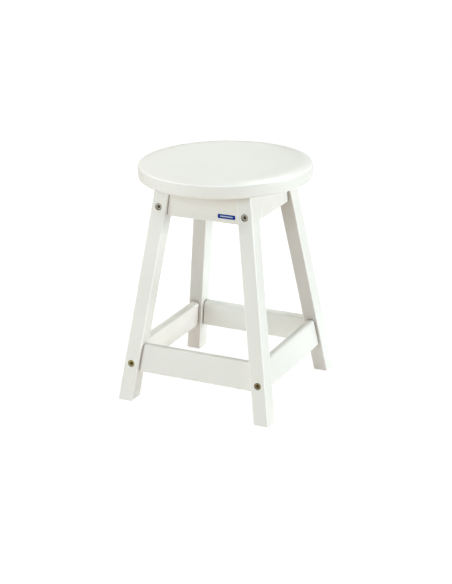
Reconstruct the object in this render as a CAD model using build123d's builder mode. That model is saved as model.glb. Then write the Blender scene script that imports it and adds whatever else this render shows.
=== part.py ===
from build123d import *
import math
import os

# Low round-seat stool in solid wood.  Millimetres, +Z up, origin on the floor
# under the middle of the seat.  The front faces -Y, the right side faces +X.

# ---- overall ---------------------------------------------------------------
stool_height = 450.0
seat_diameter = 326.0
seat_thickness = 30.5

# ---- seat edge -------------------------------------------------------------
seat_flat_radius = 126.0          # where the dead-flat top ends
seat_shoulder_angle = 17.0        # slope reached at the end of the shoulder
seat_rim_radius = 4.0             # rounding between shoulder and side
seat_under_radius = 5.5           # rounding between side and underside

# ---- legs ------------------------------------------------------------------
leg_width = 30.0                  # along X, on a horizontal section
leg_depth = 32.0                  # along Y, on a horizontal section
leg_corner_radius = 2.5
foot_half_x = 157.5               # outer faces of the feet at the floor
foot_half_y = 159.5
splay_x = 0.146                   # lean towards the middle per mm of height
splay_y = 0.1485
foot_chamfer = 1.5

# ---- rails -----------------------------------------------------------------
apron_thickness = 16.0
apron_bottom = 358.2
apron_outer_x = 94.6              # outer face of the left and right aprons
apron_outer_y = 94.6              # outer face of the front and rear aprons
apron_edge_radius = 3.0           # long bottom edges
apron_end_radius = 1.2            # eased edges where an apron butts against a leg
stretcher_thickness = 16.0
stretcher_height = 55.0
stretcher_centre_z = 83.5
stretcher_edge_radius = 4.5       # all four long edges
stretcher_end_radius = 2.0

# Rails start as overlong blanks and are trimmed by a tapered outline.
apron_blank_half_length = 140.0
apron_trim_half_width = 160.0
apron_trim_top = 430.0
stretcher_blank_half_length = 180.0
stretcher_trim_half_width = 200.0
stretcher_trim_top = 200.0

# ---- knock-down bolts and barrel nuts --------------------------------------
upper_bolt_z = 376.3
lower_bolt_z = 73.2
bolt_diameter = 6.0
bolt_length = 60.0                # under the head
bolt_head_diameter = 12.6
bolt_head_height = 3.0
bolt_socket = 4.0                 # across flats
bolt_socket_depth = 2.2
bolt_clearance = 6.6
head_recess_diameter = 13.6
head_recess_depth = 4.4           # at the middle of the sloping face
barrel_diameter = 10.0
barrel_length = 14.0
barrel_from_end = 27.0            # rail end to middle of the barrel nut
barrel_hole = 10.1
barrel_slack = 0.5                # free room above each barrel nut
barrel_hole_run = 40.0            # in the stretchers, long enough to come out below
barrel_bore_play = 0.06           # bore of the nut over the bolt diameter
barrel_slot_width = 1.4
barrel_slot_depth = 1.6
rail_bolt_hole = 7.0
rail_bolt_hole_past_nut = 12.0    # bolt hole beyond the middle of the nut

# ---- dowels ----------------------------------------------------------------
dowel_diameter = 8.0
dowel_hole = 8.1
dowel_chamfer = 1.0
glued_in_leg = 13.0
glued_in_rail = 17.0
locating_in_leg = 10.0
locating_in_rail = 20.0
dowel_slack = 0.5                 # free room beyond each dowel end
apron_dowel_z = (367.4, 406.0)
stretcher_dowel_z = (64.5, 98.0)
apron_locating_z = 398.0
stretcher_locating_z = 97.0

# ---- seat screws -----------------------------------------------------------
screw_diameter = 4.0
screw_length = 45.0               # under the head
screw_point_length = 5.0
screw_head_diameter = 8.0
screw_head_height = 2.6
screw_cross_length = 4.4          # cross recess in the head
screw_cross_width = 1.0
screw_cross_depth = 1.5
screw_wood_in_apron = 25.0        # wood left between head and seat
screw_clearance = 4.6
screw_access = 9.0                # hole the head goes up
pilot_play = 0.1                  # pilot hole over the screw diameter
pilot_slack = 0.6                 # pilot hole beyond the screw tip

# ---- label -----------------------------------------------------------------
label_length = 35.0
label_height = 8.0
label_thickness = 0.4
label_corner = 1.5
label_x = 47.2
label_z = 371.0

# ---- overrun of cuts into open air -----------------------------------------
overrun = 5.0
bolt_hole_overrun = 8.0           # for the bolt holes and recesses in the legs

# ---- derived ---------------------------------------------------------------
seat_underside = stool_height - seat_thickness
seat_radius = seat_diameter / 2
lean_x = math.degrees(math.atan(splay_x))
lean_y = math.degrees(math.atan(splay_y))
apron_mid_x = apron_outer_x - apron_thickness / 2
apron_mid_y = apron_outer_y - apron_thickness / 2
apron_mid_z = (apron_bottom + seat_underside) / 2
apron_height = seat_underside - apron_bottom
screw_head_z = seat_underside - screw_wood_in_apron
screw_tip_z = screw_head_z + screw_length
screw_places = ((apron_mid_x, 0), (-apron_mid_x, 0), (0, apron_mid_y), (0, -apron_mid_y))

# Holes for one seat screw in an apron: start height, diameter, depth upwards.
screw_holes = (
    (apron_bottom - overrun, screw_access, screw_head_z - apron_bottom + overrun),
    (screw_head_z, screw_clearance, screw_wood_in_apron + overrun),
)

# Directions from the middle of the stool: X for the sides, Y for the ends.
sides = {"left": -1, "right": 1}
ends = {"front": -1, "rear": 1}
corners = {
    f"{end}_{side}": (side_x, side_y)
    for end, side_y in ends.items()
    for side, side_x in sides.items()
}


# ---- places, as distances from the middle planes of the stool --------------
def leg_mid_x(z):
    return foot_half_x - leg_width / 2 - splay_x * z


def leg_mid_y(z):
    return foot_half_y - leg_depth / 2 - splay_y * z


def leg_inner_x(z):
    return leg_mid_x(z) - leg_width / 2


def leg_inner_y(z):
    return leg_mid_y(z) - leg_depth / 2


def leg_outer_y(z):
    return leg_mid_y(z) + leg_depth / 2


def rail_mid_x(z):
    """Middle of the left and right rails at height z."""
    return apron_mid_x if z > apron_bottom else leg_mid_x(z)


def rail_mid_y(z):
    """Middle of the front and rear rails at height z."""
    return apron_mid_y if z > apron_bottom else leg_mid_y(z)


# ---- planes and points shared by mating pieces -----------------------------
def facing_x(x, y, z, direction=1):
    """Upright plane at a point, facing +X or -X."""
    return Plane(origin=(x, y, z), x_dir=(0, 1, 0), z_dir=(direction, 0, 0))


def facing_y(x, y, z, direction=1):
    """Upright plane at a point, facing +Y or -Y."""
    return Plane(origin=(x, y, z), x_dir=(1, 0, 0), z_dir=(0, direction, 0))


def head_seat(side_x, side_y, z):
    """Floor of a bolt head's recess, facing out of the leg."""
    recess_y = leg_outer_y(z) - head_recess_depth
    return facing_y(side_x * leg_mid_x(z), side_y * recess_y, z, side_y)


def nut_middle(side_x, side_y, z):
    return Vector(side_x * leg_mid_x(z), side_y * (leg_inner_y(z) - barrel_from_end), z)


def up_the_board(side_x, lean):
    """Upward direction of a side rail that leans inwards by lean per mm."""
    return Vector(-side_x * lean, 0, 1).normalized()


def rail_bolt_start(side_x, side_y, z):
    """Start of a bolt hole, just outside the end of a side rail."""
    start_y = leg_inner_y(z) + overrun
    return facing_y(side_x * leg_mid_x(z), side_y * start_y, z, -side_y)


def glued_rail_start(side_x, side_y, z):
    """Start of a glued dowel's hole, just outside the end of a front or rear rail."""
    start_x = leg_inner_x(z) + overrun
    return facing_x(side_x * start_x, side_y * rail_mid_y(z), z, -side_x)


def locating_rail_start(side_x, side_y, z):
    """Start of a locating dowel's hole, just outside the end of a side rail."""
    start_y = leg_inner_y(z) + overrun
    return facing_y(side_x * rail_mid_x(z), side_y * start_y, z, -side_y)


rail_bolt_depth = overrun + barrel_from_end + rail_bolt_hole_past_nut
glued_rail_depth = overrun + glued_in_rail + dowel_slack
locating_rail_depth = overrun + locating_in_rail + dowel_slack


def trim_outline(half_length, top):
    """Corners of the tapered outline between two legs, from the floor to top."""
    return (
        (-half_length(0), 0),
        (half_length(0), 0),
        (half_length(top), top),
        (-half_length(top), top),
    )


def end_edges(rail, axis):
    """Edges round the two end faces of a rail, leaving out any under the seat."""
    found = rail.faces().sort_by(axis)
    edges = found[0].edges() + found[-1].edges()
    return [edge for edge in edges if edge.center().Z < seat_underside - 0.01]


def save(piece, name):
    piece.part.label = name
    export_step(piece.part, f"parts/{name}.step")


# ============================================================================
# Seat: a turned disc, flat on top, with a soft shoulder and a rounded edge,
# and four pilot holes for the seat screws in its underside.
# ============================================================================
def make_seat():
    slope_sine = math.sin(math.radians(seat_shoulder_angle))
    shoulder_end = seat_radius - seat_rim_radius * (1 - slope_sine)
    shoulder_radius = (shoulder_end - seat_flat_radius) / slope_sine
    with BuildPart() as seat:
        with BuildSketch(Plane.XZ):
            with BuildLine():
                flat = Line((0, stool_height), (seat_flat_radius, stool_height))
                shoulder = JernArc(flat @ 1, (1, 0), shoulder_radius, -seat_shoulder_angle)
                rim = JernArc(
                    shoulder @ 1, shoulder % 1, seat_rim_radius, -(90 - seat_shoulder_angle)
                )
                side = Line(rim @ 1, (seat_radius, seat_underside + seat_under_radius))
                under = JernArc(side @ 1, (0, -1), seat_under_radius, -90)
                base = Line(under @ 1, (0, seat_underside))
                Line(base @ 1, flat @ 0)
            make_face()
        revolve(axis=Axis.Z)
        with BuildSketch(Plane.XY.offset(seat_underside)):
            with Locations(*screw_places):
                Circle((screw_diameter + pilot_play) / 2)
        extrude(amount=screw_tip_z - seat_underside + pilot_slack, mode=Mode.SUBTRACT)
    save(seat, "seat")


# ============================================================================
# Legs: rectangular posts that lean in towards the seat both ways, cut level
# at the floor and under the seat.  Each takes the two recessed bolts through
# its front or rear face, the glued dowels of the front or rear rails on one
# inner face and the locating dowels of the side rails on the other.
# ============================================================================
def make_leg(corner, side_x, side_y):
    with BuildPart() as leg:
        with BuildSketch(Plane.XY):
            with Locations((side_x * leg_mid_x(0), side_y * leg_mid_y(0))):
                RectangleRounded(leg_width, leg_depth, leg_corner_radius)
        extrude(
            amount=seat_underside * math.sqrt(1 + splay_x**2 + splay_y**2),
            dir=(-side_x * splay_x, -side_y * splay_y, 1),
        )
        chamfer(leg.faces().sort_by(Axis.Z)[0].edges(), foot_chamfer)
        # bolts: a flat-bottomed recess outwards, then a clearance hole inwards
        for z in (upper_bolt_z, lower_bolt_z):
            for diameter, depth in (
                (head_recess_diameter, head_recess_depth + bolt_hole_overrun),
                (bolt_clearance, -(leg_depth + bolt_hole_overrun)),
            ):
                with BuildSketch(head_seat(side_x, side_y, z)):
                    Circle(diameter / 2)
                extrude(amount=depth, mode=Mode.SUBTRACT)
        # blind holes for the glued dowels, bored level from the inner X face
        for z in apron_dowel_z + stretcher_dowel_z:
            start_x = leg_inner_x(z) - overrun
            with BuildSketch(facing_x(side_x * start_x, side_y * rail_mid_y(z), z, side_x)):
                Circle(dowel_hole / 2)
            extrude(amount=overrun + glued_in_leg + dowel_slack, mode=Mode.SUBTRACT)
        # blind holes for the locating dowels, bored level from the inner Y face
        for z in (apron_locating_z, stretcher_locating_z):
            start_y = leg_inner_y(z) - overrun
            with BuildSketch(facing_y(side_x * rail_mid_x(z), side_y * start_y, z, side_y)):
                Circle(dowel_hole / 2)
            extrude(amount=overrun + locating_in_leg + dowel_slack, mode=Mode.SUBTRACT)
    save(leg, f"leg_{corner}")


# ============================================================================
# Front and rear rails.  The aprons are upright boards under the seat; the
# stretchers lean with the legs.  Ends are cut to the lean of the legs and
# bored for two glued dowels each.
# ============================================================================
def make_end_apron(end, side_y):
    with BuildPart() as apron:
        with BuildSketch(Plane.YZ) as section:
            with Locations((side_y * apron_mid_y, apron_mid_z)):
                Rectangle(apron_thickness, apron_height)
            fillet(section.vertices().group_by(Axis.Y)[0], apron_edge_radius)
        extrude(amount=apron_blank_half_length, both=True)
        with BuildSketch(Plane.XZ):
            with BuildLine():
                Polyline(*trim_outline(leg_inner_x, apron_trim_top), close=True)
            make_face()
        extrude(amount=apron_trim_half_width, both=True, mode=Mode.INTERSECT)
        fillet(end_edges(apron, Axis.X), apron_end_radius)
        for z in apron_dowel_z:
            for side_x in sides.values():
                with BuildSketch(glued_rail_start(side_x, side_y, z)):
                    Circle(dowel_hole / 2)
                extrude(amount=glued_rail_depth, mode=Mode.SUBTRACT)
        for start_z, diameter, depth in screw_holes:
            with BuildSketch(Plane.XY.offset(start_z)):
                with Locations((0, side_y * apron_mid_y)):
                    Circle(diameter / 2)
            extrude(amount=depth, mode=Mode.SUBTRACT)
    save(apron, f"apron_{end}")


def make_end_stretcher(end, side_y):
    with BuildPart() as stretcher:
        with BuildSketch(Plane.YZ):
            with Locations((side_y * leg_mid_y(stretcher_centre_z), stretcher_centre_z)):
                RectangleRounded(
                    stretcher_thickness,
                    stretcher_height,
                    stretcher_edge_radius,
                    rotation=side_y * lean_y,
                )
        extrude(amount=stretcher_blank_half_length, both=True)
        with BuildSketch(Plane.XZ):
            with BuildLine():
                Polyline(*trim_outline(leg_inner_x, stretcher_trim_top), close=True)
            make_face()
        extrude(amount=stretcher_trim_half_width, both=True, mode=Mode.INTERSECT)
        fillet(end_edges(stretcher, Axis.X), stretcher_end_radius)
        for z in stretcher_dowel_z:
            for side_x in sides.values():
                with BuildSketch(glued_rail_start(side_x, side_y, z)):
                    Circle(dowel_hole / 2)
                extrude(amount=glued_rail_depth, mode=Mode.SUBTRACT)
    save(stretcher, f"stretcher_{end}")


# ============================================================================
# Left and right rails.  Same sections, but bolted: each end has a level bolt
# hole, a blind cross hole from the underside for the barrel nut, and one
# locating dowel above the bolt.
# ============================================================================
def make_side_apron(side, side_x):
    with BuildPart() as apron:
        with BuildSketch(Plane.XZ) as section:
            with Locations((side_x * apron_mid_x, apron_mid_z)):
                Rectangle(apron_thickness, apron_height)
            fillet(section.vertices().group_by(Axis.Y)[0], apron_edge_radius)
        extrude(amount=apron_blank_half_length, both=True)
        with BuildSketch(Plane.YZ):
            with BuildLine():
                Polyline(*trim_outline(leg_inner_y, apron_trim_top), close=True)
            make_face()
        extrude(amount=apron_trim_half_width, both=True, mode=Mode.INTERSECT)
        fillet(end_edges(apron, Axis.Y), apron_end_radius)
        barrel_hole_top = upper_bolt_z + barrel_length / 2 + barrel_slack
        for side_y in ends.values():
            with BuildSketch(rail_bolt_start(side_x, side_y, upper_bolt_z)):
                Circle(rail_bolt_hole / 2)
            extrude(amount=rail_bolt_depth, mode=Mode.SUBTRACT)
            middle = nut_middle(side_x, side_y, upper_bolt_z)
            with BuildSketch(Plane.XY.offset(apron_bottom - overrun)):
                with Locations((middle.X, middle.Y)):
                    Circle(barrel_hole / 2)
            extrude(amount=barrel_hole_top - apron_bottom + overrun, mode=Mode.SUBTRACT)
            with BuildSketch(locating_rail_start(side_x, side_y, apron_locating_z)):
                Circle(dowel_hole / 2)
            extrude(amount=locating_rail_depth, mode=Mode.SUBTRACT)
        for start_z, diameter, depth in screw_holes:
            with BuildSketch(Plane.XY.offset(start_z)):
                with Locations((side_x * apron_mid_x, 0)):
                    Circle(diameter / 2)
            extrude(amount=depth, mode=Mode.SUBTRACT)
    save(apron, f"apron_{side}")


def make_side_stretcher(side, side_x):
    with BuildPart() as stretcher:
        with BuildSketch(Plane.XZ):
            with Locations((side_x * leg_mid_x(stretcher_centre_z), stretcher_centre_z)):
                RectangleRounded(
                    stretcher_thickness,
                    stretcher_height,
                    stretcher_edge_radius,
                    rotation=side_x * lean_x,
                )
        extrude(amount=stretcher_blank_half_length, both=True)
        with BuildSketch(Plane.YZ):
            with BuildLine():
                Polyline(*trim_outline(leg_inner_y, stretcher_trim_top), close=True)
            make_face()
        extrude(amount=stretcher_trim_half_width, both=True, mode=Mode.INTERSECT)
        fillet(end_edges(stretcher, Axis.Y), stretcher_end_radius)
        up = up_the_board(side_x, splay_x)
        for side_y in ends.values():
            with BuildSketch(rail_bolt_start(side_x, side_y, lower_bolt_z)):
                Circle(rail_bolt_hole / 2)
            extrude(amount=rail_bolt_depth, mode=Mode.SUBTRACT)
            # the cross hole follows the middle of the leaning board, cut downwards
            middle = nut_middle(side_x, side_y, lower_bolt_z)
            hole_top = middle + up * (barrel_length / 2 + barrel_slack)
            with BuildSketch(Plane(origin=hole_top, x_dir=(0, 1, 0), z_dir=-up)):
                Circle(barrel_hole / 2)
            extrude(amount=barrel_hole_run, mode=Mode.SUBTRACT)
            with BuildSketch(locating_rail_start(side_x, side_y, stretcher_locating_z)):
                Circle(dowel_hole / 2)
            extrude(amount=locating_rail_depth, mode=Mode.SUBTRACT)
    save(stretcher, f"stretcher_{side}")


# ============================================================================
# Connector bolts: flat round heads with a hex socket, seated on the recess
# floors, four to the aprons and four to the stretchers.
# ============================================================================
def make_bolts(name, z):
    head_radius = bolt_head_diameter / 2
    shank_radius = bolt_diameter / 2
    # half profile: radius, height above the underside of the head
    profile = (
        (0, bolt_head_height),
        (head_radius - 0.9, bolt_head_height),
        (head_radius - 0.25, bolt_head_height - 0.3),
        (head_radius, bolt_head_height - 0.95),
        (head_radius, 0.2),
        (head_radius - 0.2, 0),
        (shank_radius, 0),
        (shank_radius, -bolt_length + 1),
        (shank_radius - 1, -bolt_length),
        (0, -bolt_length),
    )
    with BuildPart() as bolts:
        for side_x, side_y in corners.values():
            seating = head_seat(side_x, side_y, z)
            # level sketch plane whose second axis points out of the leg
            with BuildSketch(
                Plane(origin=seating.origin, x_dir=(1, 0, 0), z_dir=(0, 0, side_y))
            ):
                with BuildLine():
                    Polyline(*profile, close=True)
                make_face()
            revolve(axis=Axis(seating.origin, (0, 1, 0)))
            with BuildSketch(seating.offset(bolt_head_height)):
                RegularPolygon(bolt_socket / 2, 6, major_radius=False)
            extrude(amount=-bolt_socket_depth, mode=Mode.SUBTRACT)
    save(bolts, name)


# ============================================================================
# Barrel nuts: short cross-bored cylinders in the side rails, slotted at the
# lower end for turning them into line.
# ============================================================================
def make_barrel_nuts(name, z, lean):
    with BuildPart() as nuts:
        for side_x, side_y in corners.values():
            middle = nut_middle(side_x, side_y, z)
            across = Plane(origin=middle, x_dir=(0, 1, 0), z_dir=up_the_board(side_x, lean))
            with BuildSketch(across):
                Circle(barrel_diameter / 2)
            extrude(amount=barrel_length / 2, both=True)
            with BuildSketch(across.offset(-barrel_length / 2)):
                Rectangle(barrel_diameter + 2, barrel_slot_width)
            extrude(amount=barrel_slot_depth, mode=Mode.SUBTRACT)
            with BuildSketch(facing_y(middle.X, middle.Y, middle.Z)):
                Circle((bolt_diameter + barrel_bore_play) / 2)
            extrude(amount=barrel_diameter, both=True, mode=Mode.SUBTRACT)
    save(nuts, name)


# ============================================================================
# Dowels: chamfered pins.  Glued pairs hold the front and rear rails; single
# locating dowels keep the bolted rails from turning.
# ============================================================================
def glued_dowel_place(side_x, side_y, z):
    middle_x = leg_inner_x(z) + (glued_in_leg - glued_in_rail) / 2
    return facing_x(side_x * middle_x, side_y * rail_mid_y(z), z)


def locating_dowel_place(side_x, side_y, z):
    middle_y = leg_inner_y(z) + (locating_in_leg - locating_in_rail) / 2
    return facing_y(side_x * rail_mid_x(z), side_y * middle_y, z)


def make_dowels(name, heights, place, length):
    with BuildPart() as dowels:
        for z in heights:
            for side_x, side_y in corners.values():
                with Locations(place(side_x, side_y, z)):
                    Cylinder(dowel_diameter / 2, length)
        chamfer(dowels.edges().filter_by(GeomType.CIRCLE), dowel_chamfer)
    save(dowels, name)


# ============================================================================
# Seat screws: driven up through the aprons into the seat.
# ============================================================================
def make_seat_screws():
    head_radius = screw_head_diameter / 2
    # half profile: radius, height above the bearing face of the head
    profile = (
        (0, -screw_head_height),
        (head_radius - 1.0, -screw_head_height),
        (head_radius, -screw_head_height + 0.9),
        (head_radius, 0),
        (screw_diameter / 2, 0),
        (screw_diameter / 2, screw_length - screw_point_length),
        (0, screw_length),
    )
    with BuildPart() as screws:
        for x, y in screw_places:
            with BuildSketch(facing_y(x, y, screw_head_z, -1)):
                with BuildLine():
                    Polyline(*profile, close=True)
                make_face()
            revolve(axis=Axis((x, y, 0), (0, 0, 1)))
            with BuildSketch(Plane.XY.offset(screw_head_z - screw_head_height)):
                with Locations((x, y)):
                    Rectangle(screw_cross_length, screw_cross_width)
                    Rectangle(screw_cross_width, screw_cross_length)
            extrude(amount=screw_cross_depth, mode=Mode.SUBTRACT)
    save(screws, "seat_screws")


# ============================================================================
# Label: a thin blank plate on the front apron, near its lower right corner.
# ============================================================================
def make_label():
    with BuildPart() as label:
        with BuildSketch(facing_y(label_x, -apron_outer_y, label_z, -1)):
            RectangleRounded(label_length, label_height, label_corner)
        extrude(amount=label_thickness)
    save(label, "label_plate")


# ---- build everything ------------------------------------------------------
os.makedirs("parts", exist_ok=True)

make_seat()
for corner, (side_x, side_y) in corners.items():
    make_leg(corner, side_x, side_y)
for end, side_y in ends.items():
    make_end_apron(end, side_y)
    make_end_stretcher(end, side_y)
for side, side_x in sides.items():
    make_side_apron(side, side_x)
    make_side_stretcher(side, side_x)

make_bolts("upper_bolts", upper_bolt_z)
make_bolts("lower_bolts", lower_bolt_z)
make_barrel_nuts("upper_barrel_nuts", upper_bolt_z, lean=0.0)
make_barrel_nuts("lower_barrel_nuts", lower_bolt_z, lean=splay_x)

glued_length = glued_in_leg + glued_in_rail
locating_length = locating_in_leg + locating_in_rail
for name, heights, place, length in (
    ("apron_dowels", apron_dowel_z, glued_dowel_place, glued_length),
    ("stretcher_dowels", stretcher_dowel_z, glued_dowel_place, glued_length),
    ("apron_locating_dowels", (apron_locating_z,), locating_dowel_place, locating_length),
    ("stretcher_locating_dowels", (stretcher_locating_z,), locating_dowel_place,
     locating_length),
):
    make_dowels(name, heights, place, length)

make_seat_screws()
make_label()
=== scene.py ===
import math

import bmesh
import bpy
from mathutils import Matrix, Vector

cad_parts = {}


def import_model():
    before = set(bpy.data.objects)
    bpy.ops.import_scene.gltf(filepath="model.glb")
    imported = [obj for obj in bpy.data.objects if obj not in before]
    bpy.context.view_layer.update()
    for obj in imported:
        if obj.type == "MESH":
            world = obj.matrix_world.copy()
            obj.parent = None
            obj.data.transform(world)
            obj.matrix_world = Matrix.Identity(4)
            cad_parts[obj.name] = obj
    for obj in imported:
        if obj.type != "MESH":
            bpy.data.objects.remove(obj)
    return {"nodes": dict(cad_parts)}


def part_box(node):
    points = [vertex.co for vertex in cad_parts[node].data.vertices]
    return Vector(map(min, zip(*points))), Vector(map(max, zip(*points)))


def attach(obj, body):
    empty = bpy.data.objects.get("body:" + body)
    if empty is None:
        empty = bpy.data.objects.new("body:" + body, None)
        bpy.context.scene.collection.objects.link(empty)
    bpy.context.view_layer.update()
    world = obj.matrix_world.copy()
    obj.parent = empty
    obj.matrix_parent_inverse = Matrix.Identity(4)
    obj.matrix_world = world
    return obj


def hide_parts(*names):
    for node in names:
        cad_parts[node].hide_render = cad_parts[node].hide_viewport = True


MM = 0.001

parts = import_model()["nodes"]
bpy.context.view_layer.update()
scene = bpy.context.scene


# ---------------------------------------------------------------------------
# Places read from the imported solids
# ---------------------------------------------------------------------------
def coords(node):
    return [v.co.copy() for v in parts[node].data.vertices]


def midpoint(values):
    return (min(values) + max(values)) / 2


def leg_axis(node):
    """Unit vector up a leg, from the middle of its foot to the middle of its top."""
    slack = 0.0002
    low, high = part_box(node)
    points = coords(node)

    def middle(level):
        return Vector((midpoint([p.x for p in level]), midpoint([p.y for p in level]), level[0].z))

    foot = [p for p in points if p.z < low.z + slack]
    top = [p for p in points if p.z > high.z - slack]
    return (middle(top) - middle(foot)).normalized()


def bolt_heads(node):
    """For each of four bolts: middle of the head's outer face, outward direction, radius, length."""
    head_depth = 0.0028
    found = []
    for side_x in (-1, 1):
        for side_y in (-1, 1):
            points = [p for p in coords(node) if p.x * side_x > 0 and p.y * side_y > 0]
            face_y = max(abs(p.y) for p in points)
            head = [p for p in points if abs(p.y) > face_y - head_depth]
            heights = [p.z for p in head]
            center = Vector((midpoint([p.x for p in head]), side_y * face_y, midpoint(heights)))
            radius = (max(heights) - min(heights)) / 2
            length = face_y - min(abs(p.y) for p in points)
            found.append((center, Vector((0, side_y, 0)), radius, length))
    return found


# ---------------------------------------------------------------------------
# Node trees
# ---------------------------------------------------------------------------
class Tree:
    """A material with a Principled surface, and short ways to add nodes to it."""

    def __init__(self, name):
        self.mat = bpy.data.materials.new(name)
        self.mat.use_nodes = True
        self.nodes = self.mat.node_tree.nodes
        self.nodes.clear()
        self.out = self.new("ShaderNodeOutputMaterial")
        self.bsdf = self.new("ShaderNodeBsdfPrincipled")
        self.put(self.out.inputs[0], self.bsdf.outputs[0])

    def new(self, kind, inputs=None, **props):
        node = self.nodes.new(kind)
        for key, value in props.items():
            setattr(node, key, value)
        for key, value in (inputs or {}).items():
            self.put(node.inputs[key], value)
        return node

    def put(self, socket, value):
        """Link a socket, or set a value; colours are given as three numbers."""
        if isinstance(value, bpy.types.NodeSocket):
            self.mat.node_tree.links.new(value, socket)
        elif socket.type == "RGBA":
            socket.default_value = (*value, 1)
        else:
            socket.default_value = value

    def math(self, op, *values):
        return self.new("ShaderNodeMath", dict(enumerate(values)), operation=op).outputs[0]

    def times(self, a, b):
        return self.math("MULTIPLY", a, b)

    def add_scaled(self, value, gain, base):
        return self.math("MULTIPLY_ADD", value, gain, base)

    def vmath(self, op, *values, out=0):
        node = self.new("ShaderNodeVectorMath", dict(enumerate(values)), operation=op)
        return node.outputs[out]

    def length_xy(self, vec):
        return self.vmath("LENGTH", self.vmath("MULTIPLY", vec, (1, 1, 0)), out=1)

    def ramp(self, value, start, end, to=(0.0, 1.0)):
        """Smooth step from to[0] at start to to[1] at end."""
        inputs = dict(enumerate((value, start, end, *to)))
        return self.new("ShaderNodeMapRange", inputs, interpolation_type="SMOOTHSTEP").outputs[0]

    def mapped(self, vec, location=(0, 0, 0), rotation=(0, 0, 0), scale=(1, 1, 1)):
        inputs = {"Vector": vec, "Location": location, "Rotation": rotation, "Scale": scale}
        return self.new("ShaderNodeMapping", inputs).outputs[0]

    def noise(self, vec, scale=1.0, detail=2.0, rough=0.5, stretch=None, out="Fac"):
        """Noise of the given frequency, times stretch along each axis."""
        if stretch:
            vec = self.mapped(vec, scale=stretch)
        inputs = {"Vector": vec, "Scale": scale, "Detail": detail, "Roughness": rough}
        return self.new("ShaderNodeTexNoise", inputs).outputs[out]

    def mix(self, fac, a, b, blend="MIX"):
        inputs = {0: fac, 6: a, 7: b}
        return self.new("ShaderNodeMix", inputs, data_type="RGBA", blend_type=blend).outputs[2]

    def object_coords(self):
        return self.new("ShaderNodeTexCoord").outputs["Object"]

    def xyz(self, vec):
        return self.new("ShaderNodeSeparateXYZ", {"Vector": vec}).outputs

    def geometry(self, output):
        return self.new("ShaderNodeNewGeometry").outputs[output]

    def occlusion(self, distance, samples=6, inside=False):
        """Openness within distance; inside looks into the piece itself, to find its edges."""
        props = {"samples": samples, "inside": inside, "only_local": inside}
        return self.new("ShaderNodeAmbientOcclusion", {"Distance": distance}, **props).outputs["AO"]

    def relief(self, *layers):
        """Bump from (pattern, height in metres) layers added together."""
        pattern, height = layers[0]
        total = self.times(pattern, height)
        for pattern, height in layers[1:]:
            total = self.add_scaled(pattern, height, total)
        bump = self.new("ShaderNodeBump", {"Height": total, "Strength": 1.0, "Distance": 1.0})
        self.put(self.bsdf.inputs["Normal"], bump.outputs[0])

    def surface(self, inputs):
        """Set the Principled inputs and return the material."""
        for key, value in inputs.items():
            self.put(self.bsdf.inputs[key], value)
        return self.mat


def assign(obj, mat):
    obj.data.materials.clear()
    obj.data.materials.append(mat)


# ---------------------------------------------------------------------------
# Painted wood
# ---------------------------------------------------------------------------
PAINT = (0.800, 0.812, 0.765)
KNOT = (0.80, 0.76, 0.62)
RUBBED_EDGE = (0.80, 0.775, 0.68)
ENCLOSED_SHADE = (0.68, 0.575, 0.50)          # painted shade on faces with other pieces round them
# painted shade in narrow pockets between pieces
POCKET_SHADE = (0.19, 0.155, 0.13)
FRONT_SHADE_TINT = (0.895, 0.845, 0.835)    # painted shade on the front faces of the rear legs; multiplies the paint
# darker painted shade in pockets on those front faces
FRONT_POCKET_SHADE = (0.24, 0.20, 0.17)
# painted light: edge highlights, and faces turned to the light
PAINTED_LIGHT = (0.975, 0.985, 0.955)
# painted shade on top faces
TOP_SHADE_COLOR = (0.50, 0.47, 0.40)
# painted shade in inside corners
CORNER_SHADE = (0.46, 0.42, 0.35)
# dark joint lines: dirt in the joints and painted shade in the gaps
JOINT_DIRT_AND_SHADE = (0.105, 0.085, 0.068)
SHEEN = (0.94, 0.95, 0.92)
SEAM = (0.92, 0.92)                     # strength of the painted corner shade and the dark joint lines, near the floor and near the seat


def growth_rings(t, board, pith, ring):
    """Masks for the late wood of each ring and for the knot cores."""
    # distance from a pith line, wandering slowly along the length
    wander = t.noise(board, rough=0.45, stretch=(9, 9, 1.6), out="Color")
    centered = t.vmath("SUBTRACT", wander, (0.5, 0.5, 0.5))
    shift = t.vmath("MULTIPLY", centered, (0.020, 0.020, 0.0))
    across = t.vmath("ADD", t.vmath("MULTIPLY", board, (1, 1, 0)), shift)
    radial = t.vmath("LENGTH", t.vmath("ADD", across, (*pith, 0)), out=1)

    # knots push the rings aside
    knots_per_metre = 6.5
    inputs = {"Vector": board, "Scale": knots_per_metre}
    knot = t.new("ShaderNodeTexVoronoi", inputs, feature="F1")
    knot_distance = t.math("DIVIDE", knot.outputs["Distance"], knots_per_metre)
    push = t.ramp(knot_distance, 0.034, 0.004, to=(0.0, 0.010))
    core = t.ramp(knot_distance, 0.0075, 0.0055)

    # each ring darkens slowly and ends sharply; its strength varies in patches
    part = t.math("FRACT", t.math("DIVIDE", t.math("ADD", radial, push), ring))
    late = t.times(t.ramp(part, 0.35, 0.86), t.ramp(part, 1.0, 0.92))
    patch = t.noise(board, detail=1.0, stretch=(14, 14, 3))
    return t.times(late, t.ramp(patch, 0.38, 0.66, to=(0.15, 1.0))), core


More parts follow.
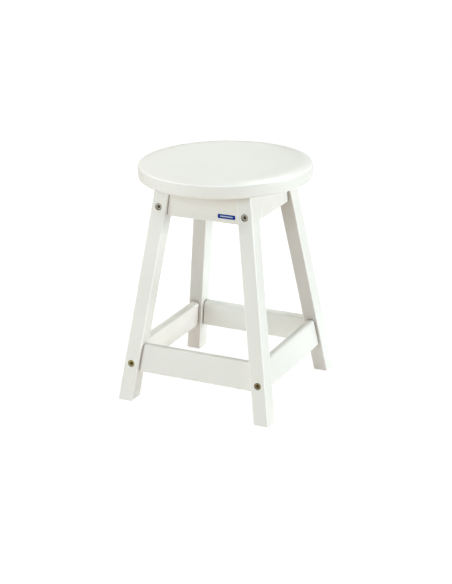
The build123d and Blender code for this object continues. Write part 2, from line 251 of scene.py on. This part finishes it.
def edge_light(t, crest, facing, edge):
    """Mask of painted highlights: the smooth crown of a rounded edge, which reads as a fine line of
    light.
    """
    if crest == "upright":
        return t.ramp(t.math("ABSOLUTE", t.times(facing[0], facing[1])), 0.17, 0.42)
    if crest == "rim":
        crown = t.times(t.ramp(facing[2], 0.52, 0.76), t.ramp(facing[2], 0.95, 0.89))
        # fainter where the rim faces left
        crown = t.times(crown, t.ramp(facing[0], -0.46, -0.10, to=(0.12, 1.0)))
        # painted light where it faces right and to the rear
        right = t.ramp(facing[0], 0.06, 0.28, to=(0.0, 0.62))
        wash = t.times(right, t.ramp(facing[1], -0.10, 0.20))
        wash = t.times(wash, t.ramp(facing[2], 0.05, 0.60, to=(0.30, 1.0)))
        rear = t.ramp(facing[1], 0.25, 0.60, to=(0.0, 0.6))
        return t.math("MAXIMUM", crown, t.math("MAXIMUM", wash, rear))
    # painted highlight along every rounded edge
    return t.ramp(edge, 0.3, 1.0, to=(0.0, 0.30))


def painted_wood(name, along, offset, pith, ring, relief=1.0, crest=None, shade=1.0,
                 shelter=None, top_shade=0.0, lit=0.0, seam=SEAM):
    """White semi-gloss paint brushed along a softwood board whose grain shows through.

    along, offset: grain direction, and a shift to a fresh part of the pattern
    pith, ring: place of the pith line across the board, and ring spacing
    relief: height of the grain; crest: which painted edge highlight, "upright", "rim" or None
    shade: strength of the painted shade on enclosed faces and in pockets; shelter: painted shade on
    front faces, low and high up
    top_shade: painted shade on top faces; lit: painted light on faces turned right, towards their
    rear
    seam: strength of the painted corner shade and of the dark joint lines of dirt and painted shade,
    near the floor and near the seat
    """
    t = Tree(name)
    turn = Vector(along).normalized().rotation_difference(Vector((0, 0, 1))).to_euler()
    # board frame: Z along the grain
    board = t.mapped(t.object_coords(), location=offset, rotation=turn)
    late, core = growth_rings(t, board, pith, ring)

    fibre = t.noise(board, detail=3.0, rough=0.62, stretch=(820, 820, 13))
    pore = t.ramp(t.noise(board, stretch=(1500, 1500, 40)), 0.30, 0.42, to=(1.0, 0.0))
    brush = t.noise(board, rough=0.55, stretch=(330, 330, 5))
    peel = t.noise(board, scale=620.0)
    swell = t.noise(board, scale=28.0)
    t.relief(
        (late, 0.000038 * relief),
        (fibre, 0.000036 * relief),
        (pore, -0.000016 * relief),
        (brush, 0.000050),
        (peel, 0.000014),
        (swell, 0.00010),
        (core, 0.00012 * relief),
    )

    # wear masks, and masks for painted shade and painted highlights, from the finest to the widest
    # surroundings
    edge = t.ramp(t.occlusion(0.0035, inside=True), 0.97, 0.70)
    corner = t.ramp(t.occlusion(0.006), 0.66, 0.22)
    joint = t.ramp(t.occlusion(0.0017, samples=8), 0.60, 0.30)
    enclosed = t.ramp(t.occlusion(0.13), 0.96, 0.30)
    pocket = t.occlusion(0.028)
    deep = t.ramp(pocket, 0.52, 0.28)
    rub = t.times(edge, t.ramp(t.noise(board, scale=55.0, detail=3.0, rough=0.6), 0.42, 0.62))

    # brightness: broad clouds, fibres, rings and pores
    tone = t.ramp(t.noise(board, scale=7.0, detail=3.0), 0.25, 0.75, to=(0.982, 1.012))
    tone = t.times(tone, t.ramp(fibre, 0.2, 0.8, to=(1.008, 0.988)))
    tone = t.times(tone, t.add_scaled(late, -0.014, 1.0))
    tone = t.times(tone, t.add_scaled(pore, -0.022, 1.0))

    base = t.mix(t.times(core, 0.30), PAINT, KNOT)
    base = t.mix(t.times(rub, 0.16), base, RUBBED_EDGE)
    # painted shade on enclosed faces and in narrow pockets, scaled by shade
    base = t.mix(t.times(enclosed, 0.36 * shade), base, ENCLOSED_SHADE)
    base = t.mix(t.times(deep, 0.80 * shade), base, POCKET_SHADE)
    facing = None
    if crest or shelter or top_shade or lit:
        facing = t.xyz(t.geometry("Normal"))
    # painted shade on front faces, darker in their pockets, set low and high up by shelter
    if shelter:
        height = t.xyz(t.geometry("Position"))[2]
        strength = t.ramp(height, 0.05, 0.12, to=shelter)
        forward = t.times(t.ramp(facing[1], -0.60, -0.95), strength)
        base = t.mix(forward, base, t.mix(1.0, base, FRONT_SHADE_TINT, "MULTIPLY"))
        pocketed = t.ramp(pocket, 0.78, 0.42, to=(0.0, 0.50))
        base = t.mix(t.times(forward, pocketed), base, FRONT_POCKET_SHADE)
    # painted light on faces turned right, more towards their rear
    if lit:
        rearward = t.xyz(t.geometry("Position"))[1]
        rightward = t.ramp(facing[0], 0.60, 0.95, to=(0.0, lit))
        base = t.mix(t.times(rightward, t.ramp(rearward, -0.02, 0.10)), base, PAINTED_LIGHT)
    # painted shade on top faces
    if top_shade:
        base = t.mix(t.times(t.ramp(facing[2], 0.60, 0.95), top_shade), base, TOP_SHADE_COLOR)
    # painted shade in inside corners, and dark joint lines of dirt and painted shade
    seam_level = t.ramp(t.xyz(t.geometry("Position"))[2], 0.15, 0.30, to=seam)
    base = t.mix(t.times(corner, t.times(seam_level, 0.35)), base, CORNER_SHADE)
    base = t.mix(t.times(joint, seam_level), base, JOINT_DIRT_AND_SHADE)
    # painted highlights along rounded edges
    base = t.mix(t.times(edge_light(t, crest, facing, edge), 0.92), base, PAINTED_LIGHT)
    # the sheen takes up the white room where a face turns away
    graze = t.new("ShaderNodeLayerWeight", {"Blend": 0.5}).outputs["Facing"]
    base = t.mix(t.ramp(graze, 0.75, 0.98, to=(0.0, 0.75)), base, SHEEN)
    grey = t.new("ShaderNodeCombineColor", {i: tone for i in range(3)})
    color = t.mix(1.0, base, grey.outputs[0], "MULTIPLY")

    patches = t.noise(board, scale=90.0, detail=3.0, rough=0.6)
    rough = t.ramp(patches, 0.3, 0.7, to=(0.29, 0.37))
    rough = t.add_scaled(rub, 0.10, rough)
    rough = t.add_scaled(corner, 0.12, rough)
    return t.surface({
        "Base Color": color, "Roughness": rough, "IOR": 1.47, "Specular IOR Level": 0.5,
    })


# ---------------------------------------------------------------------------
# Other materials
# ---------------------------------------------------------------------------
WORN_METAL = (0.78, 0.76, 0.72)


def plated_metal(name, tint, dark, rough, cast):
    """Turned, plated steel round local +Z, clouded from tint to cast, darkened by dirt and painted
    shade.
    """
    t = Tree(name)
    local = t.object_coords()
    radius = t.length_xy(local)
    jitter = t.noise(local, scale=900.0, rough=0.6)
    # concentric tool marks, 21000 radians per metre, slightly wavering
    marks = t.math("SINE", t.add_scaled(radius, 21000.0, t.times(jitter, 2.2)))
    fine = t.noise(local, scale=5200.0, rough=0.7, stretch=(1, 1, 3))
    t.relief((marks, 0.0000028), (fine, 0.0000060))

    cloud = t.ramp(t.noise(local, scale=420.0, detail=4.0, rough=0.62), 0.36, 0.68)
    # dirt and painted shade in the hollows
    soil_and_shade = t.ramp(t.occlusion(0.0022), 0.75, 0.25)
    worn = t.ramp(t.occlusion(0.0007, inside=True), 0.9, 0.55)
    height = t.xyz(local)[2]
    # more dirt and painted shade down the socket, painted shade in the middle of the head, and a
    # painted shadow round its outer rim
    socket = t.times(t.ramp(radius, 0.0029, 0.0024), t.ramp(height, -0.00008, -0.0007))
    soil_and_shade = t.math("MAXIMUM", soil_and_shade, socket)
    middle = t.times(t.ramp(radius, 0.0040, 0.0028), t.ramp(height, -0.0030, -0.0026))
    soil_and_shade = t.math("MAXIMUM", soil_and_shade, middle)
    soil_and_shade = t.math("MAXIMUM", soil_and_shade, t.ramp(radius, 0.0050, 0.0060, to=(0.0, 0.70)))

    color = t.mix(cloud, tint, cast)
    color = t.mix(t.times(soil_and_shade, 0.88), color, dark)
    color = t.mix(t.times(worn, 0.15), color, WORN_METAL)
    return t.surface({
        "Base Color": color,
        "Metallic": t.add_scaled(soil_and_shade, -0.35, 1.0),
        "Roughness": t.add_scaled(cloud, 0.12, t.add_scaled(soil_and_shade, 0.25, rough)),
        "Anisotropic": 0.35,
    })


BEECH_DARK = (0.60, 0.41, 0.25)
BEECH_LIGHT = (0.72, 0.54, 0.36)
BEECH_FLECK = (0.42, 0.26, 0.15)


def bare_beech(name):
    """Unfinished hardwood dowel with short flecks along X."""
    t = Tree(name)
    local = t.object_coords()
    fleck = t.noise(local, detail=3.0, rough=0.6, stretch=(60, 700, 700))
    fleck = t.ramp(fleck, 0.5, 0.62)
    grain = t.noise(local, detail=3.0, rough=0.6, stretch=(8, 260, 260))
    color = t.mix(grain, BEECH_DARK, BEECH_LIGHT)
    color = t.mix(t.times(fleck, 0.5), color, BEECH_FLECK)
    t.relief((grain, 0.00004), (fleck, -0.00003))
    return t.surface({"Base Color": color, "Roughness": t.ramp(grain, 0.2, 0.8, to=(0.62, 0.75))})


LABEL_DEEP = (0.0006, 0.028, 0.230)
LABEL_SPECKLE = (0.0015, 0.040, 0.300)
LABEL_HAZE = (0.06, 0.14, 0.40)
LABEL_BAR = (0.62, 0.70, 0.80)
BAR_Z = 0.0002
BLOCK_PITCH = 0.0036
BLOCK_SHIFT = 0.05      # keeps the block count positive across the label


def label_film(name):
    """Deep blue gloss film, speckled and hazed, with a pale bar of blocks across the middle."""
    t = Tree(name)
    local = t.object_coords()
    speck = t.noise(local, scale=2600.0, rough=0.6)
    haze = t.noise(local, scale=110.0, detail=3.0, rough=0.6, stretch=(1, 1, 3))
    color = t.mix(t.ramp(speck, 0.35, 0.7, to=(0.0, 0.6)), LABEL_DEEP, LABEL_SPECKLE)
    color = t.mix(t.ramp(haze, 0.4, 0.75, to=(0.0, 0.03)), color, LABEL_HAZE)

    at = t.xyz(local)
    from_bar = t.math("ABSOLUTE", t.math("SUBTRACT", at[2], BAR_Z))
    within_height = t.ramp(from_bar, 0.00125, 0.00095)
    within_width = t.ramp(t.math("ABSOLUTE", at[0]), 0.0128, 0.0124)
    bar = t.times(within_height, within_width)
    count = t.math("DIVIDE", t.math("ADD", at[0], BLOCK_SHIFT), BLOCK_PITCH)
    block = t.ramp(t.math("FRACT", count), 0.10, 0.16)
    color = t.mix(t.times(t.times(bar, block), 0.85), color, LABEL_BAR)
    t.relief((speck, 0.000006))
    return t.surface({
        "Base Color": color,
        "Roughness": t.ramp(haze, 0.3, 0.7, to=(0.28, 0.42)),
        "Specular IOR Level": 0.10,
    })


# ---------------------------------------------------------------------------
# Wooden pieces: the imported solids, each board with its own grain
# ---------------------------------------------------------------------------
# weak painted corner shade and joint lines low down
FAINT_SEAM = (0.10, 0.92)

LEGS = {
    "leg_front_left": {"shade": 0.3, "seam": FAINT_SEAM},
    "leg_front_right": {"shade": 0.3},
    # the rear legs get painted shade on their front faces
    "leg_rear_left": {"shelter": (1.0, 0.58)},
    "leg_rear_right": {"shelter": (0.35, 0.95)},
}
CROSS_RAILS = {     # along X
    "apron_front": {},
    "apron_rear": {},
    "stretcher_front": {"top_shade": 0.36, "seam": FAINT_SEAM},
    "stretcher_rear": {},
}
SIDE_RAILS = {      # along Y
    "apron_left": {},
    "apron_right": {},
    "stretcher_left": {"shade": 0.3, "lit": 0.75},
    "stretcher_right": {"shade": 0.3},
}


def paint(piece, along, offset, pith, ring, **looks):
    assign(parts[piece], painted_wood("paint_" + piece, along, offset, pith, ring, **looks))


for i, (leg, looks) in enumerate(LEGS.items()):
    paint(leg, along=leg_axis(leg), offset=(0.31 * i, 0.17 * i, 0.7 * i),
          pith=(0.055, -0.02 - 0.012 * i), ring=0.0029 + 0.0003 * i, crest="upright", **looks)
for i, (rail, looks) in enumerate(CROSS_RAILS.items()):
    paint(rail, along=(1, 0, 0), offset=(1.1 + 0.23 * i, 0.41 * i, 0.9 * i),
          pith=(0.012 + 0.01 * i, 0.075), ring=0.0036, **looks)
for i, (rail, looks) in enumerate(SIDE_RAILS.items()):
    paint(rail, along=(0, 1, 0), offset=(2.3 + 0.29 * i, 0.37 * i, 0.8 * i),
          pith=(0.075, 0.015 + 0.008 * i), ring=0.0034, **looks)
paint("seat", along=(1, 0, 0), offset=(0.4, 3.1, 0.2), pith=(0.03, 0.14), ring=0.0046,
      relief=0.45, crest="rim")


# ---------------------------------------------------------------------------
# Mesh helpers
# ---------------------------------------------------------------------------
def skin(bm, loops):
    """Faces between each loop of vertices and the next."""
    for a, b in zip(loops, loops[1:]):
        count = len(a)
        for k in range(count):
            bm.faces.new((a[k], a[(k + 1) % count], b[(k + 1) % count], b[k]))


def add_object(name, mesh):
    obj = bpy.data.objects.new(name, mesh)
    scene.collection.objects.link(obj)
    return obj


def write_mesh(bm, mesh):
    bmesh.ops.recalc_face_normals(bm, faces=bm.faces)
    bm.to_mesh(mesh)
    bm.free()


def smooth(obj, degrees):
    """Smooth shading, with edges sharper than the angle kept crisp."""
    for polygon in obj.data.polygons:
        polygon.use_smooth = True
    bm = bmesh.new()
    bm.from_mesh(obj.data)
    for edge in bm.edges:
        if len(edge.link_faces) == 2 and edge.calc_face_angle() > math.radians(degrees):
            edge.smooth = False
    bm.to_mesh(obj.data)
    bm.free()


def lathe(name, rings, segments=96):
    """A closed turned mesh about local Z.  Rings are (z, radius or function of angle)."""
    bm = bmesh.new()
    loops = []
    for z, radius in rings:
        loop = []
        for k in range(segments):
            angle = 2 * math.pi * k / segments
            reach = radius(angle) if callable(radius) else radius
            loop.append(bm.verts.new((reach * math.cos(angle), reach * math.sin(angle), z)))
        loops.append(loop)
    skin(bm, loops)
    for loop, flip in ((loops[0], True), (loops[-1], False)):
        center = bm.verts.new((0, 0, loop[0].co.z))
        for k in range(segments):
            here, after = loop[k], loop[(k + 1) % segments]
            bm.faces.new((center, after, here) if flip else (center, here, after))
    mesh = bpy.data.meshes.new(name)
    write_mesh(bm, mesh)
    return add_object(name, mesh)


# ---------------------------------------------------------------------------
# Bolts: turned heads with a hex socket, shanks with a rolled thread.
# The origin is the middle of the head's outer face, local +Z points out of the leg.
# ---------------------------------------------------------------------------
HEAD_THICK = 3.0 * MM
SOCKET_ACROSS = 4.0 * MM        # between flats
SHANK_SEGMENTS = 24
SHANK_RADIUS = 2.99 * MM
TIP_RADIUS = 2.0 * MM
PLAIN_LENGTH = 24 * MM          # shank without thread, under the head
PLAIN_STEP = 6 * MM
THREAD_PITCH = 1.0 * MM
THREAD_STEPS = 6                # per pitch
THREAD_DEPTH = 0.55 * MM
THREAD_RUN_IN = 1.5 * MM        # length over which the thread reaches full depth


def hexagon(grow):
    """Socket outline: radius at an angle, grown outward."""
    def radius(angle):
        from_flat = (angle + math.pi / 6) % (math.pi / 3) - math.pi / 6
        return SOCKET_ACROSS / 2 / math.cos(from_flat) + grow

    return radius


def head_profile(radius):
    """(z, radius) from the socket floor, out over the face and down to the underside."""
    return [
        (-2.75 * MM, 0.15 * MM),
        (-2.20 * MM, 1.55 * MM),
        (-2.12 * MM, hexagon(-0.05 * MM)),
        (-0.34 * MM, hexagon(0.0)),
        (-0.12 * MM, hexagon(0.16 * MM)),
        (-0.10 * MM, 2.75 * MM),
        (-0.02 * MM, 2.95 * MM),
        (0.0, 3.35 * MM),
        (-0.01 * MM, 4.6 * MM),
        (-0.05 * MM, radius - 0.95 * MM),
        (-0.16 * MM, radius - 0.50 * MM),
        (-0.42 * MM, radius - 0.16 * MM),
        (-0.80 * MM, radius - 0.02 * MM),
        (-1.0 * MM, radius),
        (-HEAD_THICK + 0.35 * MM, radius),
        (-HEAD_THICK + 0.12 * MM, radius - 0.06 * MM),
        (-HEAD_THICK, radius - 0.25 * MM),
        (-HEAD_THICK, 3.0 * MM),
    ]


def add_shank(bm, length):
    """Plain under the head, then threaded to a chamfered tip."""
    end = -length
    plain_end = -HEAD_THICK - PLAIN_LENGTH
    stations = []
    z = -HEAD_THICK
    while z > plain_end:
        stations.append(z)
        z -= PLAIN_STEP
    z = plain_end
    while z > end:
        stations.append(z)
        z -= THREAD_PITCH / THREAD_STEPS
    stations.append(end)

    previous = None
    for z in stations:
        loop = []
        for k in range(SHANK_SEGMENTS):
            angle = 2 * math.pi * k / SHANK_SEGMENTS
            radius = SHANK_RADIUS
            if z <= plain_end:
                turn = ((z / THREAD_PITCH) + k / SHANK_SEGMENTS) % 1.0
                depth = min(1.0, (plain_end - z) / THREAD_RUN_IN)
                radius -= THREAD_DEPTH * depth * (1 - abs(2 * turn - 1)) ** 0.85
            radius = min(radius, TIP_RADIUS + (z - end))
            loop.append(bm.verts.new((radius * math.cos(angle), radius * math.sin(angle), z)))
        if previous:
            for k in range(SHANK_SEGMENTS):
                after = (k + 1) % SHANK_SEGMENTS
                bm.faces.new((previous[k], loop[k], loop[after], previous[after]))
        else:
            bm.faces.new(loop)
        previous = loop
    tip = bm.verts.new((0, 0, end))
    for k in range(SHANK_SEGMENTS):
        bm.faces.new((tip, previous[(k + 1) % SHANK_SEGMENTS], previous[k]))


def connector_bolt(name, mat, head, out, radius, length, spin):
    body = lathe(name, head_profile(radius))
    bm = bmesh.new()
    bm.from_mesh(body.data)
    add_shank(bm, length)
    write_mesh(bm, body.data)
    smooth(body, degrees=32)
    assign(body, mat)
    turn = out.to_track_quat("Z", "Y").to_matrix().to_4x4() @ Matrix.Rotation(spin, 4, "Z")
    body.matrix_world = Matrix.Translation(head) @ turn
    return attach(body, "root")


nickel = plated_metal("nickel_plate", tint=(0.52, 0.505, 0.43), dark=(0.03, 0.022, 0.015),
                      rough=0.30, cast=(0.38, 0.365, 0.29))
zinc_left = plated_metal("yellow_zinc_olive", tint=(0.46, 0.43, 0.15), dark=(0.02, 0.008, 0.008),
                         rough=0.28, cast=(0.40, 0.29, 0.11))
# a darker copy of the yellow zinc: painted shade on the lower bolts on the right
zinc_right_shaded = plated_metal("yellow_zinc_shaded", tint=(0.34, 0.28, 0.14),
                          dark=(0.03, 0.018, 0.006), rough=0.32, cast=(0.24, 0.18, 0.09))

BOLTS = (   # node, plating on the left and right, slot
    ("upper_bolts", {"left": nickel, "right": nickel}, "nickel_steel"),
    ("lower_bolts", {"left": zinc_left, "right": zinc_right_shaded}, "yellow_zinc_steel"),
)
for node, plating, slot in BOLTS:
    for k, (head, out, radius, length) in enumerate(bolt_heads(node)):
        side = "left" if head.x < 0 else "right"
        end = "front" if head.y < 0 else "rear"
        bolt = connector_bolt(f"{node[:-1]}_{end}_{side}", plating[side], head, out, radius,
                              length, spin=0.35 + 0.9 * k)
        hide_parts(node)

for node in ("upper_barrel_nuts", "lower_barrel_nuts", "seat_screws"):
    assign(parts[node], nickel)
for node in ("apron_dowels", "stretcher_dowels", "apron_locating_dowels",
             "stretcher_locating_dowels"):
    assign(parts[node], bare_beech("beech_" + node))


# ---------------------------------------------------------------------------
# Label plate: rounded corners, a raised border and a domed field
# ---------------------------------------------------------------------------
LABEL_CORNER = 0.0015
LABEL_MIN_CORNER = 0.0004
LABEL_CORNER_STEPS = 8
LABEL_RINGS = (     # inset from the outline, height as a fraction of the plate's depth
    (0.0, 0.0), (0.0, 0.72), (0.00006, 0.92),
    (0.00016, 1.0), (0.00050, 1.0), (0.00062, 0.94),
    (0.00080, 0.90), (0.0016, 0.955), (0.0026, 0.985),
)


def label_outline(width, height, inset):
    points = []
    radius = max(LABEL_CORNER - inset, LABEL_MIN_CORNER)
    for side_x, side_z, first in ((1, 1, 0), (-1, 1, 90), (-1, -1, 180), (1, -1, 270)):
        for k in range(LABEL_CORNER_STEPS + 1):
            angle = math.radians(first + 90 * k / LABEL_CORNER_STEPS)
            points.append((side_x * (width / 2 - inset - radius) + radius * math.cos(angle),
                           side_z * (height / 2 - inset - radius) + radius * math.sin(angle)))
    return points


def label_piece():
    low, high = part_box("label_plate")
    width, depth, height = high - low
    bm = bmesh.new()
    loops = [
        [bm.verts.new((x, -depth * rise, z)) for x, z in label_outline(width, height, inset)]
        for inset, rise in LABEL_RINGS
    ]
    skin(bm, loops)
    bm.faces.new(loops[-1])
    bm.faces.new(list(reversed(loops[0])))
    mesh = bpy.data.meshes.new("label_film")
    write_mesh(bm, mesh)
    obj = add_object("label_film", mesh)
    smooth(obj, degrees=40)
    center = ((low.x + high.x) / 2, high.y, (low.z + high.z) / 2)
    obj.matrix_world = Matrix.Translation(center)
    assign(obj, label_film("label_blue"))
    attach(obj, "root")
    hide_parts("label_plate")


label_piece()

# ---------------------------------------------------------------------------
# Stage: pale floor, white surroundings, soft lights, camera
# ---------------------------------------------------------------------------
scene.view_settings.view_transform = "Standard"
scene.view_settings.look = "None"
scene.view_settings.exposure = 0.0
scene.view_settings.gamma = 1.0

FLOOR_HALF = 30
FLOOR_Z = -0.0002
FLOOR_TINTS = (0.595, 0.60, 0.59), (0.61, 0.615, 0.605)
FLOOR_SEEN = (0.14, 0.14, 0.14)     # base colour for camera rays
QUARTER = 0.7071                    # sine of 45 degrees, bounds the front and rear quarters


def floor_material():
    """Pale floor that also glows: white to the camera, and as bounced light on the stool."""
    t = Tree("pale_floor")
    local = t.object_coords()
    cloud = t.ramp(t.noise(local, scale=2.2, detail=3.0), 0.3, 0.7)
    seen = t.new("ShaderNodeLightPath").outputs["Is Camera Ray"]
    color = t.mix(seen, t.mix(cloud, *FLOOR_TINTS), FLOOR_SEEN)
    t.surface({"Base Color": color, "Roughness": 0.85, "Specular IOR Level": 0.1})
    t.relief((t.noise(local, scale=350.0), 0.00002))

    reach = t.length_xy(local)
    heading = t.vmath("NORMALIZE", t.vmath("MULTIPLY", local, (1, 1, 0)))
    heading = t.xyz(heading)[1]
    front = t.math("LESS_THAN", heading, -QUARTER)
    rear = t.math("GREATER_THAN", heading, QUARTER)

    # washed out to white for the camera, except in the shade close round the feet
    layers = [((1, 1, 1), t.times(seen, t.ramp(reach, 0.26, 0.62, to=(0.90, 1.0))))]
    unseen = t.math("SUBTRACT", 1.0, seen)
    bounces = (     # colour, strength, inner and outer radius, quarter
        ((1.0, 0.865, 0.816), 0.364, -1.0, 0.22, None),
        ((1.0, 0.776, 0.613), 0.388, 0.22, 0.70, front),
        ((1.0, 0.658, 0.457), 0.486, 0.70, 2.50, front),
        ((0.819, 0.958, 1.0), 0.871, 0.22, 0.70, rear),
    )
    for color, strength, inner, outer, quarter in bounces:
        mask = t.times(t.math("GREATER_THAN", reach, inner), t.math("LESS_THAN", reach, outer))
        if quarter:
            mask = t.times(mask, quarter)
        layers.append((color, t.times(t.times(mask, strength), unseen)))
    last = t.bsdf.outputs[0]
    for color, strength in layers:
        glow = t.new("ShaderNodeEmission", {"Color": color, "Strength": strength})
        last = t.new("ShaderNodeAddShader", {0: last, 1: glow.outputs[0]}).outputs[0]
    # clear from below, so the underside can be looked at
    below = t.geometry("Backfacing")
    clear = t.new("ShaderNodeBsdfTransparent").outputs[0]
    through = t.new("ShaderNodeMixShader", {0: below, 1: last, 2: clear})
    t.put(t.out.inputs[0], through.outputs[0])
    return t.mat


def build_floor():
    mesh = bpy.data.meshes.new("floor")
    corners = [(x * FLOOR_HALF, y * FLOOR_HALF, FLOOR_Z)
               for x, y in ((-1, -1), (1, -1), (1, 1), (-1, 1))]
    mesh.from_pydata(corners, [], [(0, 1, 2, 3)])
    floor = add_object("floor", mesh)
    mesh.materials.append(floor_material())
    floor.visible_shadow = False  # leaves the floor out of the paint's shade masks


def build_world():
    """Plain white to the camera, a very dim room to everything else."""
    world = bpy.data.worlds.new("white_room")
    scene.world = world
    world.use_nodes = True
    nodes, links = world.node_tree.nodes, world.node_tree.links
    nodes.clear()

    def background(color, strength):
        node = nodes.new("ShaderNodeBackground")
        node.inputs[0].default_value = (*color, 1)
        node.inputs[1].default_value = strength
        return node

    output = nodes.new("ShaderNodeOutputWorld")
    room = background(color=(1.0, 1.0, 0.97), strength=0.01)
    room.name = "room"
    seen = background(color=(1, 1, 1), strength=1.0)
    path = nodes.new("ShaderNodeLightPath")
    mix = nodes.new("ShaderNodeMixShader")
    links.new(path.outputs["Is Camera Ray"], mix.inputs[0])
    links.new(room.outputs[0], mix.inputs[1])
    links.new(seen.outputs[0], mix.inputs[2])
    links.new(mix.outputs[0], output.inputs[0])


LIGHT_AIM = Vector((0, 0, 0.22))
LIGHT_DISTANCE = 2.6
SQUARE = (0.7, 0.7)
SOFTBOXES = (
    # name, azimuth in degrees from the front towards the right, elevation in degrees, size,
    # level a white sheet facing it would read, colour
    ("right_low", 100, 10, (2.15, 0.50), 0.582, (1.0, 0.940, 0.966)),
    ("right_floor", 105, 3, (0.7, 0.5), 0.176, (0.773, 1.0, 0.972)),
    ("right_rear_top", 110, 45, SQUARE, 0.175, (0.891, 1.0, 0.989)),
    ("rear_top", 180, 52, SQUARE, 0.382, (0.955, 1.0, 0.987)),
    ("rear_left", -135, 21, (2.15, 0.82), 0.063, (0.889, 1.0, 0.968)),
    ("left_high", -90, 42, (2.15, 1.15), 0.475, (1.0, 0.859, 0.781)),
    ("front", 0, 26, SQUARE, 0.250, (0.884, 0.970, 1.0)),
    ("front_left", -35, 13, SQUARE, 0.215, (0.884, 0.970, 1.0)),
    ("front_top", 0, 66, SQUARE, 0.251, (0.968, 0.976, 1.0)),
)


def direction(azimuth, elevation):
    """Unit vector away from the stool; azimuth turns from the front towards the right."""
    flat = math.cos(elevation)
    return Vector((math.sin(azimuth) * flat, -math.cos(azimuth) * flat, math.sin(elevation)))


def softbox(name, azimuth, elevation, size, level, color):
    away = direction(math.radians(azimuth), math.radians(elevation))
    light = bpy.data.lights.new(name, "AREA")
    light.shape = "RECTANGLE"
    light.size, light.size_y = size
    light.energy = level * math.pi**2 * LIGHT_DISTANCE**2
    light.color = color
    obj = add_object(name, light)
    obj.visible_camera = False
    turn = away.to_track_quat("Z", "Y").to_matrix().to_4x4()
    obj.matrix_world = Matrix.Translation(LIGHT_AIM + away * LIGHT_DISTANCE) @ turn


CAMERA_AZIMUTH, CAMERA_ELEVATION, CAMERA_ROLL = map(math.radians, (26.184, 20.189, -0.802))
CAMERA_TARGET = Vector((-0.00243, 0.0, 0.18706))
CAMERA_DISTANCE = 2.84418
CAMERA_LENS = 91.3746575    # mm, on a sensor 36 mm wide


def build_camera():
    back = direction(CAMERA_AZIMUTH, CAMERA_ELEVATION)
    level = Vector((math.cos(CAMERA_AZIMUTH), math.sin(CAMERA_AZIMUTH), 0))
    upright = back.cross(level)
    cos_roll, sin_roll = math.cos(CAMERA_ROLL), math.sin(CAMERA_ROLL)
    right = level * cos_roll + upright * sin_roll
    up = -level * sin_roll + upright * cos_roll
    place = CAMERA_TARGET + back * CAMERA_DISTANCE
    data = bpy.data.cameras.new("camera")
    data.sensor_width = 36.0
    data.sensor_fit = "AUTO"
    data.lens = CAMERA_LENS
    data.clip_end = 100.0
    camera = add_object("camera", data)
    rows = [*zip(right, up, back, place), (0, 0, 0)]
    camera.matrix_world = Matrix([*rows[:3], (0, 0, 0, 1)])
    scene.camera = camera


build_floor()
build_world()
for entry in SOFTBOXES:
    softbox(*entry)
build_camera()
